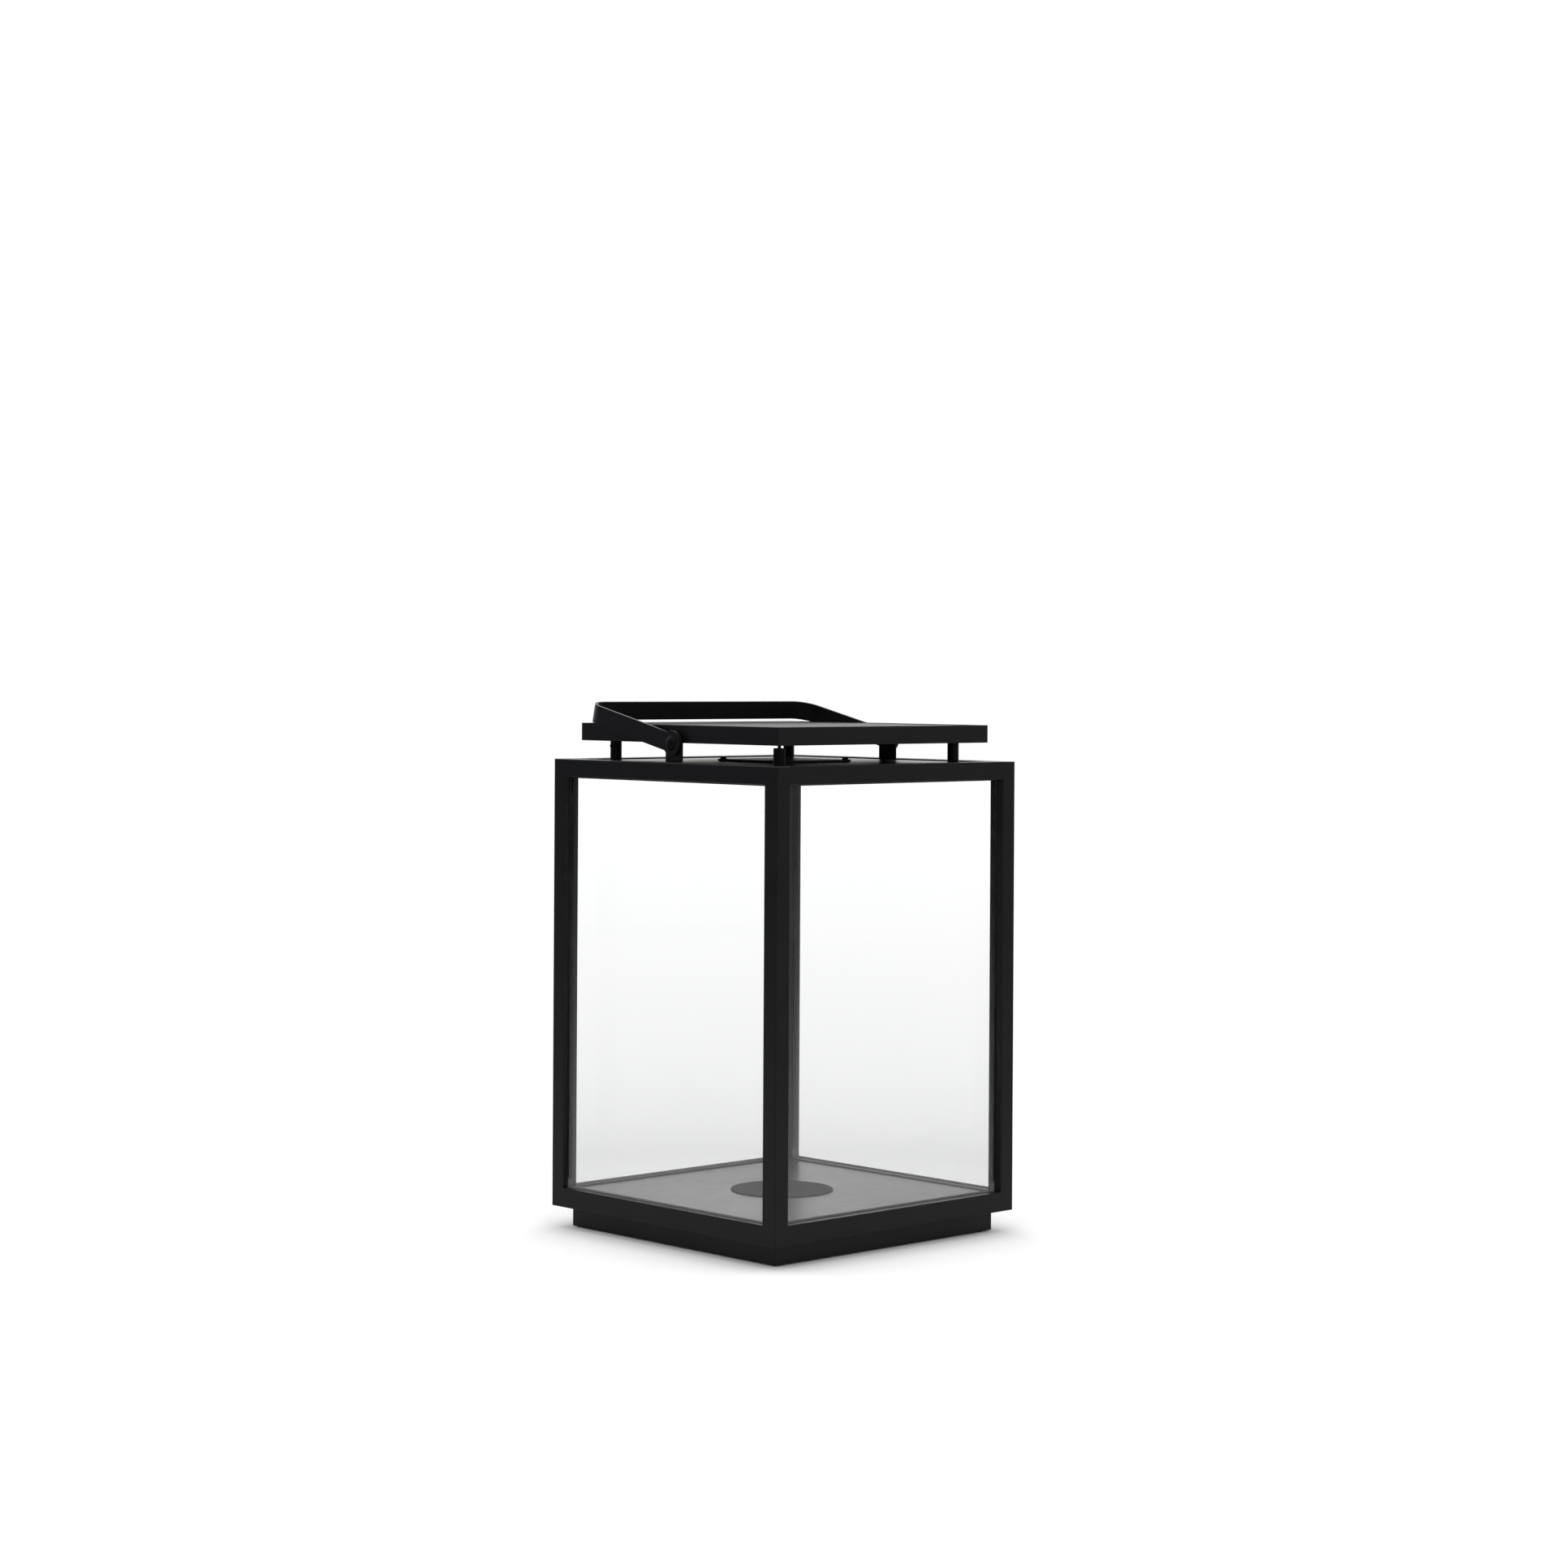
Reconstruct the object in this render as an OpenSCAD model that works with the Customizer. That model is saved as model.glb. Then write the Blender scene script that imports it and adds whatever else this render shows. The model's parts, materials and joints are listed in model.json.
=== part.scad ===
// Solar lantern: a welded square-tube frame with four glass panes, a plinth,
// a lamp module in the roof sheet, a solar and battery box held above the roof
// on standoffs, and a flat carrying strap that swings over it.
// The origin is on the ground under the middle of the lantern. +Z is up, the
// front is -Y, and the two strap pivots lie on a line along X.

/* [Frame] */
// Outside width of the square frame
frame_w = 280; // [250:1:360]
// Width of the square tube of posts and rails
tube = 15; // [13:0.5:15.5]
// Wall thickness of the tube
tube_wall = 1.2; // [0.8:0.1:1.6]
// Rounding of the long outside edges of the tube
edge_r = 0.9; // [0.4:0.1:1.1]
// Height of the bottom rails
bottom_rail_h = 16.6; // [15:0.2:22]
// Height of the top rails
top_rail_h = 15.2; // [15.2:0.2:20]
// Clear height of the windows
window_h = 352.6; // [180:0.2:520]

/* [Plinth and feet] */
// Height of the plinth above the feet
plinth_h = 17.3; // [10:0.1:40]
// How far the plinth stands back from the frame on each side
plinth_inset = 12.7; // [4:0.1:14]
// Thickness of the plinth sheet
plinth_t = 2; // [1.2:0.1:3]
// Thickness of the foot pads
foot_h = 1; // [0.6:0.1:4]
// Diameter of the foot pads
foot_d = 16; // [10:0.5:20]

/* [Sheets] */
// Thickness of the roof and floor sheets
sheet_t = 1.5; // [1:0.1:2]
// How far the roof and floor sheets lie below the edge of the rails
sheet_drop = 1.2; // [0.9:0.1:2]
// Depth of the folded flanges of both sheets
flange_h = 12; // [8:0.5:13]
// Diameter of the disc in the middle of the floor
disc_d = 88; // [50:1:150]
// Thickness of the floor disc
disc_t = 1; // [0.6:0.1:3]

/* [Glass] */
// Thickness of the panes
glass_t = 3; // [2:0.5:4]
// Depth of the left and right panes behind the frame's face
glass_side_depth = 5.7; // [2:0.1:8]
// Depth of the front and back panes behind the frame's face
glass_front_depth = 8; // [2:0.1:9]
// Gap between a pane's edge and the tube, filled by the seal
glass_gap = 0.5; // [0.4:0.1:1.5]
// How far the seal's lips reach over the pane
seal_lip = 0.5; // [0.3:0.1:2]
// Thickness of a seal lip
seal_t = 0.5; // [0.4:0.1:0.8]

/* [Lamp module] */
// Width of the square lamp flange
lamp_flange_w = 82; // [80:1:100]
// Thickness of the lamp flange
lamp_flange_t = 1.5; // [1.2:0.1:2.5]
// Spacing of the four flange screws
lamp_screw_pitch = 74; // [72.5:0.1:75]
// Outside radius of the lamp housing under the roof
lamp_r = 33; // [32.5:0.1:33.5]
// Number of LED chips on the board
led_count = 8; // [4:1:12]

/* [Solar box] */
// How far the solar box stands back from the frame on each side
panel_inset = 16.4; // [16.4:0.2:20]
// Height of the solar box
panel_h = 15; // [15:0.1:18]
// Height of the gap between the frame and the solar box
panel_gap = 16; // [14:0.1:24]
// Wall thickness of the solar box
panel_wall = 2; // [1.6:0.1:2.2]
// Distance of the standoffs from the edges of the solar box
standoff_inset = 21.2; // [17:0.2:26]
// Diameter of the standoffs
standoff_d = 9.8; // [8:0.2:11]
// Gap between the top of the cable conduit and the solar box
conduit_gap = 2.5; // [0.5:0.1:5]
// Diameter of the lamp cable
cable_d = 2.8; // [2:0.1:3]
// Number of solar cell rows
cell_rows = 6; // [2:1:10]
// Number of solar cell columns
cell_cols = 2; // [1:1:4]

/* [Carrying strap] */
// Width of the flat strap
strap_w = 16; // [12:0.5:18]
// Thickness of the strap
strap_t = 2.5; // [2:0.1:4]
// Outside radius of the strap's bends
bend_r = 18; // [8:0.5:30]
// Length from the pivot line to the outer face of the crossbar
strap_reach = 114; // [100:1:140]
// Gap between the resting strap and the solar box under it
strap_clear = 2.3; // [1:0.05:10]
// Diameter of the round eyes at the strap's ends
eye_d = 21; // [19:0.5:22]
// How far the pivots lie below the underside of the solar box
pivot_drop = 0; // [-3:0.1:2]
// Width of the strap's brackets
bracket_w = 20; // [16:0.5:26]
// Thickness of the brackets
bracket_t = 2; // [1.5:0.1:3]
// Diameter of the pivot rivets
pivot_d = 4; // [3:0.1:5]
// Diameter of the rivets' domed heads
rivet_head_d = 12.6; // [9:0.1:14]
// Height of the rivets' domed heads
rivet_head_h = 3; // [1.5:0.1:4]

/* [Power button] */
// Diameter of the power button
button_d = 9.9; // [8:0.1:11]
// Distance of the button from the back edge of the solar box
button_inset = 22.6; // [22.2:0.1:26]

/* [Hidden] */
$fn = 64;
eps = 0.01;     // overlap that joins two touching shapes
over = 1;       // how far a cutting shape overshoots
fit = 0.01;     // radial gap of a screw or rivet in its tight hole
run = 0.05;     // radial running clearance

// Frame
sill_z0 = foot_h + plinth_h;                 // underside of the bottom rails
sill_z = sill_z0 + bottom_rail_h;            // top of the bottom rails
head_z = sill_z + window_h;                  // underside of the top rails
frame_z = head_z + top_rail_h;               // top of the frame
inner_w = frame_w - 2 * tube;                // clear width between the posts
rail_at = (frame_w - tube) / 2;              // centre line of a rail or post
roof_z = frame_z - sheet_drop;               // top face of the roof sheet
floor_z = sill_z - sheet_drop;               // top face of the floor sheet
plinth_w = frame_w - 2 * plinth_inset;
plinth_lip = 22;                             // width of the plinth's flanges

// Lamp module
gasket_t = 0.5;
flange_z = roof_z + gasket_t;                // underside of the lamp flange
lamp_inner_r = lamp_r - 2;                   // inside radius, within a 2 mm wall
lamp_hole_r = lamp_r + 0.5;                  // hole in the roof sheet and gasket
lamp_bottom = roof_z - 13.2;                 // lower end of the lamp housing
led_board_t = 1.6;
led_board_z = roof_z - led_board_t;
ring_h = 1.2;                                // height of the ring under the diffuser
lamp_screw_r = 1.5;                          // radius of the screw holes in the roof
lamp_screw_clear_r = 1.6;                    // the same in the flange and gasket

// Solar box
panel_w = frame_w - 2 * panel_inset;
panel_z = frame_z + panel_gap;               // underside of the solar box
cover_t = 2;
cover_z = panel_z + cover_t;                 // inside face of the base cover
cavity_w = panel_w - 2 * panel_wall;
cover_w = cavity_w - 0.6;
seal_strip_t = 1;
boss_w = 9;
boss_at = cavity_w / 2 - boss_w / 2;
cover_hole_r = 1.4;                          // screw holes in the cover and its seal
cover_sink_h = 1.4;                          // height of the countersunk heads

// Solar laminate, from its underside up
laminate_z = panel_z + panel_h - 4.7;
laminate_w = cavity_w - 2 * 0.8;             // 0.8 mm of seal on each side
backsheet_t = 0.7;
cell_t = 0.35;
ribbon_t = 0.1;
solar_glass_t = 3;
cell_z = laminate_z + backsheet_t;
ribbon_z = cell_z + cell_t;
solar_glass_z = ribbon_z + ribbon_t;
cell_field = laminate_w - 6;                 // width of the square of cells
cell_gap = 2;
cell_x = (cell_field - (cell_cols - 1) * cell_gap) / cell_cols;
cell_y = (cell_field - (cell_rows - 1) * cell_gap) / cell_rows;

// Standoffs and cable
standoff_at = panel_w / 2 - standoff_inset;
standoff_h = panel_z - roof_z;
standoff_screw_r = 1.5;
standoff_bore_r = standoff_screw_r + 0.1;
grub_turn = [174, 45, 45];                   // angle about Z of each grub screw
grub_drop = 4.7;                             // grub screws below the solar box
grub_r = 1.3;
cable_r = cable_d / 2;
cable_hole_r = cable_r + 0.12;               // hole in the grommet and cover
roof_cable_hole_r = cable_r + 1;
cable_z = laminate_z - 1.8;                  // cable run inside the solar box
cable_bend = 6;
lamp_cable_z = roof_z - 8;                   // cable run under the roof
lamp_cable_end = 26;                         // its end, measured from the lamp's axis

// Electronics
button_y = panel_w / 2 - button_inset;
board_z = cover_z + 4.9;
board_t = 1.6;
board_x = 80;
board_y = 25.5;
board_cy = button_y - 2;
board_top = board_z + board_t;
post_inset = 3.5;                            // board posts from the board's edges
switch_z = cover_z + 2.3;
stem_d = 3.4;
battery_x = 60;
battery_y = 95;
battery_h = 7;
battery_at = 34;                             // centre of each battery left and right
battery_cy = board_cy - board_y / 2 - 13.75 - battery_y / 2;
pad_t = 0.5;
lead_r = 0.7;

// Carrying strap
pivot_z = panel_z - pivot_drop;
pivot_r = pivot_d / 2;
bracket_x = frame_w / 2 - tube;              // inner face of a bracket
washer_t = 0.3;
strap_x = bracket_x + bracket_t + washer_t + strap_t;  // outer face of the strap
// Angle above level at which the strap rests: its lower inner edge hangs
// strap_clear over the solar box
strap_rest = asin((panel_h + pivot_drop + strap_clear)
        / norm([strap_reach - strap_t, strap_w / 2]))
    + atan(strap_w / 2 / (strap_reach - strap_t));

// Places as [x, y]
function corners(x_at, y_at) = [for (x = [-1, 1], y = [-1, 1]) [x * x_at, y * y_at]];

lamp_screw_spots = corners(lamp_screw_pitch / 2, lamp_screw_pitch / 2);
// Back left, back right, front right; the cable takes the front left corner
standoff_spots = [for (s = [[-1, 1], [1, 1], [1, -1]]) s * standoff_at];
cable_spot = [[-standoff_at, -standoff_at]];
cover_screw_spots = [for (x = [-1, 0, 1], y = [-1, 0, 1])
    if (x != 0 || y != 0) [x * boss_at, y * boss_at]];
board_posts = [for (c = corners(board_x / 2 - post_inset, board_y / 2 - post_inset))
    c + [0, board_cy]];

// ---------- placing ----------

module raise(z) {
    translate([0, 0, z]) children();
}

// A copy at each [x, y] spot, at height z
module at_each(spots, z = 0) {
    for (spot = spots) translate([spot[0], spot[1], z]) children();
}

// Turns about Z from the front to the named side
module to_side(side) {
    turn = side == "front" ? 0 : side == "right" ? 90 : side == "back" ? 180 : -90;
    rotate([0, 0, turn]) children();
}

// Turns +Z to +X
module along_x() {
    rotate([0, 90, 0]) children();
}

// The piece as drawn on the right, and its mirror image on the left
module both_sides() {
    for (m = [0, 1]) mirror([m, 0, 0]) children();
}

// ---------- shared shapes ----------

// Cuboid centred on the Z axis, standing on height z
module block(size, z = 0) {
    translate([-size[0] / 2, -size[1] / 2, z]) cube(size);
}

// Rectangle about the middle with rounded corners
module rounded_rect(w, h, r) {
    square([w - 2 * r, h], center = true);
    square([w, h - 2 * r], center = true);
    at_each(corners(w / 2 - r, h / 2 - r)) circle(r = r, $fn = 32);
}

// Rectangle whose lower corners stay sharp and whose upper corners are rounded
module top_rounded_rect(w, h, r) {
    translate([-w / 2 + r, -h / 2]) square([w - 2 * r, h]);
    translate([-w / 2, -h / 2]) square([w, h - r]);
    for (x = [-1, 1]) translate([x * (w / 2 - r), h / 2 - r]) circle(r = r, $fn = 32);
}

// Quarter bend of the cable that starts at the origin going +Y and ends going +X
module cable_corner() {
    translate([cable_bend, 0, 0]) rotate([0, 0, 90]) rotate_extrude(angle = 90)
        translate([cable_bend, 0]) circle(r = cable_r, $fn = 32);
}

// Straight length of the cable, along +Z
module cable_length(len) {
    cylinder(r = cable_r, h = len, $fn = 32);
}

// Two crossed slots from height z up
module cross_slot(len, w, z, h) {
    block([len, w, h], z);
    block([w, len, h], z);
}

// Pan-head screw, head upwards on z = 0, shank below
module pan_screw(shank_r, len, head_r, head_h) {
    rim_h = head_h * 0.6;
    difference() {
        union() {
            raise(-len) cylinder(r = shank_r, h = len, $fn = 32);
            cylinder(r = head_r, h = rim_h, $fn = 32);
            raise(rim_h - eps)
                cylinder(r1 = head_r, r2 = head_r * 0.72, h = head_h * 0.4 + eps, $fn = 32);
        }
        cross_slot(len = head_r * 1.1, w = head_r * 0.24, z = head_h * 0.45, h = head_h);
    }
}

// ---------- frame ----------

// Corner post; side_x is -1 left or 1 right, side_y is -1 front or 1 back
module post(side_x, side_y) {
    color("black") translate([side_x * rail_at, side_y * rail_at, sill_z])
        linear_extrude(window_h) difference() {
            rounded_rect(tube, tube, edge_r);
            square(tube - 2 * tube_wall, center = true);
        }
}

// Turns a section drawn in XY so that it runs along +X with its Y upwards
module along_rail() {
    rotate([90, 0, 90]) children();
}

// Mitred rail along the front, h high with its underside at z0. Its ends are
// sharp-edged towards the window, which is below a top rail.
module rail(h, z0, is_top) {
    color("black") intersection() {
        difference() {
            union() {
                translate([0, -rail_at, z0 + h / 2]) along_rail()
                    raise(-frame_w / 2) linear_extrude(frame_w) rounded_rect(tube, h, edge_r);
                for (x = [-1, 1]) translate([x * rail_at, -rail_at, z0 + h / 2]) along_rail()
                    raise(-tube / 2) linear_extrude(tube)
                        mirror([0, is_top ? 0 : 1]) top_rounded_rect(tube, h, edge_r);
            }
            translate([0, -rail_at, 0])
                block([frame_w + 2 * over, tube - 2 * tube_wall, h - 2 * tube_wall],
                    z0 + tube_wall);
        }
        // Mitre: a triangle from the front face to the lantern's axis
        mitre = frame_w / 2 + over;
        raise(z0 - over) linear_extrude(h + 2 * over)
            polygon([[-mitre, -mitre], [mitre, -mitre], [0, 0]]);
        raise(z0 - over) linear_extrude(h + 2 * over) rounded_rect(frame_w, frame_w, edge_r);
    }
}

module top_rail(side) {
    to_side(side) rail(top_rail_h, head_z, is_top = true);
}

module bottom_rail(side) {
    to_side(side) rail(bottom_rail_h, sill_z0, is_top = false);
}

// Square sheet with flanges folded down, top face at z
module folded_sheet(z) {
    inside = inner_w - 2 * sheet_t;
    difference() {
        block([inner_w, inner_w, flange_h], z - flange_h);
        block([inside, inside, flange_h + over - sheet_t], z - flange_h - over);
    }
}

module roof_sheet() {
    cut_h = 10;
    cut_z = roof_z - cut_h / 2;
    color("black") difference() {
        folded_sheet(roof_z);
        raise(cut_z) cylinder(r = lamp_hole_r, h = cut_h);
        at_each(lamp_screw_spots, cut_z) cylinder(r = lamp_screw_r, h = cut_h, $fn = 32);
        at_each(standoff_spots, cut_z) cylinder(r = standoff_bore_r, h = cut_h, $fn = 32);
        at_each(cable_spot, cut_z) cylinder(r = roof_cable_hole_r, h = cut_h, $fn = 32);
    }
}

module floor_sheet() {
    color("black") folded_sheet(floor_z);
}

module floor_disc() {
    color("black") raise(floor_z) cylinder(d = disc_d, h = disc_t, $fn = 96);
}

// Channel-section plinth, open in the middle
module plinth() {
    inside = plinth_w - 2 * plinth_t;
    opening = plinth_w - 2 * plinth_lip;
    color("black") raise(foot_h) difference() {
        linear_extrude(plinth_h) rounded_rect(plinth_w, plinth_w, edge_r);
        block([inside, inside, plinth_h - 2 * plinth_t], plinth_t);
        block([opening, opening, plinth_h + 2 * over], -over);
    }
}

// Pads under the corners, midway across the plinth's flanges
module foot_pads() {
    foot_at = plinth_w / 2 - plinth_lip / 2;
    color("dimgray") at_each(corners(foot_at, foot_at)) cylinder(d = foot_d, h = foot_h);
}

// ---------- glazing ----------

// Slab in the front window, held back from its edges by inset, its outer face
// at the given depth behind the frame
module window_slab(inset, depth, thickness) {
    translate([-inner_w / 2 + inset, -frame_w / 2 + depth, sill_z + inset])
        cube([inner_w - 2 * inset, thickness, window_h - 2 * inset]);
}

module pane(depth) {
    color([0.8, 0.9, 0.9, 0.4]) window_slab(glass_gap, depth, glass_t);
}

// The channel seal round that pane
module pane_seal(depth) {
    seal_depth = depth - seal_t;
    seal_w = glass_t + 2 * seal_t;
    color("black") difference() {
        window_slab(0, seal_depth, seal_w);
        window_slab(glass_gap, depth, glass_t);
        window_slab(glass_gap + seal_lip, seal_depth - over, seal_w + 2 * over);
    }
}

// ---------- lamp module ----------

module lamp_housing() {
    color("black") difference() {
        union() {
            raise(flange_z) linear_extrude(lamp_flange_t)
                rounded_rect(lamp_flange_w, lamp_flange_w, 2);
            raise(lamp_bottom) cylinder(r = lamp_r, h = flange_z - lamp_bottom + eps);
        }
        raise(lamp_bottom - over) cylinder(r = lamp_inner_r, h = roof_z - lamp_bottom + over);
        at_each(lamp_screw_spots, flange_z - over)
            cylinder(r = lamp_screw_clear_r, h = lamp_flange_t + 2 * over, $fn = 32);
        // Cable hole towards the front left corner
        raise(lamp_cable_z) rotate([0, 0, 225]) along_x() cable_length(lamp_r + 2);
    }
}

module lamp_gasket() {
    width = lamp_flange_w - 1;
    cut_h = 3;
    color("dimgray") raise(roof_z) difference() {
        linear_extrude(gasket_t) rounded_rect(width, width, 2);
        raise(-over) cylinder(r = lamp_hole_r, h = cut_h);
        at_each(lamp_screw_spots, -over) cylinder(r = lamp_screw_clear_r, h = cut_h, $fn = 32);
    }
}

module led_board() {
    color("white") raise(led_board_z) cylinder(r = lamp_inner_r - 2, h = led_board_t);
}

// Ring of chips on the underside of the board
module led_chips() {
    chip_w = 3.5;
    chip_h = 0.8;
    ring_r = 18;
    color("gold") for (i = [0 : led_count - 1]) rotate([0, 0, i * 360 / led_count])
        translate([ring_r, 0, led_board_z - chip_h]) block([chip_w, chip_w, chip_h]);
}

module lamp_diffuser() {
    color("white") raise(lamp_bottom + ring_h) cylinder(r = lamp_inner_r - 0.2, h = 2);
}

module diffuser_ring() {
    color("black") raise(lamp_bottom) difference() {
        cylinder(r = lamp_inner_r - 0.05, h = ring_h);
        raise(-over) cylinder(r = lamp_inner_r - 3, h = 4);
    }
}

// Flange screws, each slot turned differently
module lamp_screws() {
    at = lamp_screw_pitch / 2;
    color("dimgray") for (x = [-1, 1], y = [-1, 1])
        translate([x * at, y * at, flange_z + lamp_flange_t])
            rotate([0, 0, 20 + 35 * x + 15 * y])
                pan_screw(shank_r = lamp_screw_r - fit, len = 6, head_r = 2.7, head_h = 1.6);
}

// ---------- standoffs and cable ----------

module panel_standoffs() {
    color("black") for (i = [0 : 2]) at_each([standoff_spots[i]], roof_z) difference() {
        cylinder(d = standoff_d, h = standoff_h, $fn = 48);
        raise(-over) cylinder(r = standoff_bore_r, h = standoff_h + 2 * over, $fn = 32);
        rotate([0, 0, grub_turn[i]]) raise(standoff_h - grub_drop) along_x()
            cylinder(r = grub_r + 0.02, h = standoff_d, $fn = 32);
    }
}

// Grub screws with a bevelled outer end and a hexagon socket
module grub_screws() {
    proud = 0.9;
    socket_depth = 0.9;
    bevel_h = 0.35;
    len = standoff_d / 2 + proud - standoff_screw_r;
    color("dimgray") for (i = [0 : 2]) at_each([standoff_spots[i]], panel_z - grub_drop)
        rotate([0, 0, grub_turn[i]]) along_x() raise(standoff_screw_r + 0.02) difference() {
            union() {
                cylinder(r = grub_r, h = len - bevel_h, $fn = 32);
                raise(len - bevel_h - eps) cylinder(r1 = grub_r, r2 = 0.95, h = bevel_h, $fn = 32);
            }
            raise(len - socket_depth) cylinder(r = 0.55, h = 2, $fn = 6);
        }
}

// Screws from under the roof sheet up into the box cover
module standoff_screws() {
    reach = 5;  // past the underside of the box
    color("dimgray") at_each(standoff_spots, roof_z - sheet_t) mirror([0, 0, 1])
        pan_screw(shank_r = standoff_screw_r - fit, len = standoff_h + sheet_t + reach,
            head_r = 2.7, head_h = 1.8);
}

module cable_conduit() {
    color("black") at_each(cable_spot, roof_z) difference() {
        cylinder(d = standoff_d, h = standoff_h - conduit_gap, $fn = 48);
        raise(-over) cylinder(r = cable_r + 0.1, h = panel_z, $fn = 32);
    }
}

module cable_grommet() {
    collar_h = 1.5;
    color("dimgray") at_each(cable_spot, roof_z - sheet_t) difference() {
        union() {
            raise(-collar_h) cylinder(r = cable_r + 2.5, h = collar_h, $fn = 32);
            cylinder(r = roof_cable_hole_r - 0.02, h = sheet_t, $fn = 32);
        }
        raise(-3) cylinder(r = cable_hole_r, h = 6, $fn = 32);
    }
}

// From the controller board, round the solar box, down the conduit and under
// the roof sheet to the lamp
module lamp_cable() {
    left_x = -standoff_at;
    front_y = -standoff_at;
    back_y = board_cy + 4;
    back_len = -board_x / 2 - left_x - cable_bend;
    side_len = back_y - front_y - 2 * cable_bend;
    down_len = cable_z - lamp_cable_z - 2 * cable_bend;
    roof_len = standoff_at * sqrt(2) - cable_bend - lamp_cable_end;
    color("dimgray") {
        // along the back of the box
        translate([left_x + cable_bend, back_y, cable_z]) along_x() cable_length(back_len);
        // corner towards the front
        translate([left_x, back_y - cable_bend, cable_z]) cable_corner();
        // along the left side
        translate([left_x, front_y + cable_bend, cable_z]) rotate([-90, 0, 0])
            cable_length(side_len);
        // corner downwards
        translate([left_x, front_y, cable_z - cable_bend]) rotate([0, -90, 0])
            rotate([0, 0, -90]) mirror([1, 0, 0]) cable_corner();
        // down through the conduit
        translate([left_x, front_y, lamp_cable_z + cable_bend]) cable_length(down_len);
        // corner towards the lamp
        translate([left_x, front_y, lamp_cable_z + cable_bend]) rotate([0, 0, 45])
            rotate([-90, 0, 0]) cable_corner();
        // under the roof to the lamp
        translate([left_x, front_y, lamp_cable_z]) rotate([0, 0, 45])
            translate([cable_bend, 0, 0]) along_x() cable_length(roof_len);
    }
}

// ---------- solar box ----------

// Walls, a ledge under the laminate and bosses for the cover screws
module solar_box_shell() {
    ledge_t = 1.5;
    ledge_outer = cavity_w + 2 * eps;
    ledge_inner = cavity_w - 2 * 4;  // 4 mm wide ledge
    boss_z = cover_z + seal_strip_t;
    color("black") difference() {
        union() {
            difference() {
                raise(panel_z) linear_extrude(panel_h) rounded_rect(panel_w, panel_w, 1);
                block([cavity_w, cavity_w, panel_h + 2 * over], panel_z - over);
            }
            difference() {
                block([ledge_outer, ledge_outer, ledge_t], laminate_z - ledge_t);
                block([ledge_inner, ledge_inner, 6], laminate_z - 3);
            }
            at_each(cover_screw_spots, boss_z) block([boss_w, boss_w, laminate_z - boss_z]);
        }
        at_each(cover_screw_spots, cover_z - over)
            cylinder(r = 1.2, h = laminate_z - cover_z, $fn = 24);
    }
}

// Base cover with bosses over the standoffs and the conduit, and board posts
module solar_box_cover() {
    boss_r = 4.5;
    boss_h = 4.3;
    cable_boss_h = 0.5;
    color("black") difference() {
        union() {
            block([cover_w, cover_w, cover_t], panel_z);
            at_each(standoff_spots, cover_z - eps) cylinder(r = boss_r, h = boss_h + eps, $fn = 32);
            at_each(cable_spot, cover_z - eps)
                cylinder(r = boss_r, h = cable_boss_h + eps, $fn = 32);
            at_each(board_posts, cover_z - eps)
                cylinder(r = 2.5, h = board_z - cover_z + eps, $fn = 32);
        }
        at_each(standoff_spots, panel_z - over)
            cylinder(r = standoff_screw_r, h = cover_t + 4.2, $fn = 32);
        at_each(cable_spot, panel_z - over) cylinder(r = cable_hole_r, h = 8, $fn = 32);
        at_each(board_posts, board_z - 3.5) cylinder(r = 0.9, h = 8, $fn = 24);
        at_each(cover_screw_spots, panel_z) {
            raise(-over) cylinder(r = cover_hole_r, h = 6, $fn = 24);
            raise(-eps) cylinder(r1 = 2.8, r2 = cover_hole_r, h = cover_sink_h, $fn = 24);
        }
        translate([0, button_y, panel_z - over]) cylinder(r = button_d / 2 + run, h = 6);
    }
}

module cover_seal() {
    opening = cover_w - 2 * boss_w;
    cut_h = 4;
    color("dimgray") raise(cover_z) difference() {
        block([cover_w, cover_w, seal_strip_t]);
        block([opening, opening, cut_h], -over);
        at_each(cover_screw_spots, -over) cylinder(r = cover_hole_r, h = cut_h, $fn = 24);
    }
}

// Countersunk screws, heads downwards
module cover_screws() {
    shank_r = 1.15;
    head_r = 2.65;
    sunk = 0.05;
    color("dimgray") at_each(cover_screw_spots, panel_z + sunk) difference() {
        union() {
            cylinder(r1 = head_r, r2 = shank_r, h = cover_sink_h, $fn = 24);
            raise(cover_sink_h - 0.1) cylinder(r = shank_r, h = 6, $fn = 24);
        }
        cross_slot(len = 2.6, w = 0.5, z = -0.5, h = 1.1);
    }
}

module solar_backsheet() {
    color("black") block([laminate_w, laminate_w, backsheet_t], laminate_z);
}

// Left edge of a cell column
function column_x(i) = -cell_field / 2 + i * (cell_x + cell_gap);

module solar_cells() {
    color("midnightblue") for (i = [0 : cell_cols - 1], j = [0 : cell_rows - 1])
        translate([column_x(i), -cell_field / 2 + j * (cell_y + cell_gap), cell_z])
            cube([cell_x, cell_y, cell_t]);
}

// Evenly spaced ribbons along Y over each column of cells
module cell_ribbons() {
    ribbons = 3;  // per column
    ribbon_w = 1.4;
    ribbon_len = cell_field + 2;
    color("silver") for (i = [0 : cell_cols - 1], k = [1 : ribbons])
        translate([column_x(i) + cell_x * (2 * k - 1) / (2 * ribbons), 0, ribbon_z])
            block([ribbon_w, ribbon_len, ribbon_t]);
}

module solar_glass() {
    color([0.5, 0.6, 0.7, 0.5]) block([laminate_w, laminate_w, solar_glass_t], solar_glass_z);
}

module solar_edge_seal() {
    color("black") raise(laminate_z) difference() {
        block([cavity_w, cavity_w, 4.2]);
        block([laminate_w, laminate_w, 7], -over);
    }
}

// ---------- batteries and electronics ----------

module battery_cells() {
    color("royalblue") for (x = [-1, 1]) translate([x * battery_at, battery_cy, cover_z + pad_t])
        block([battery_x, battery_y, battery_h]);
}

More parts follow.
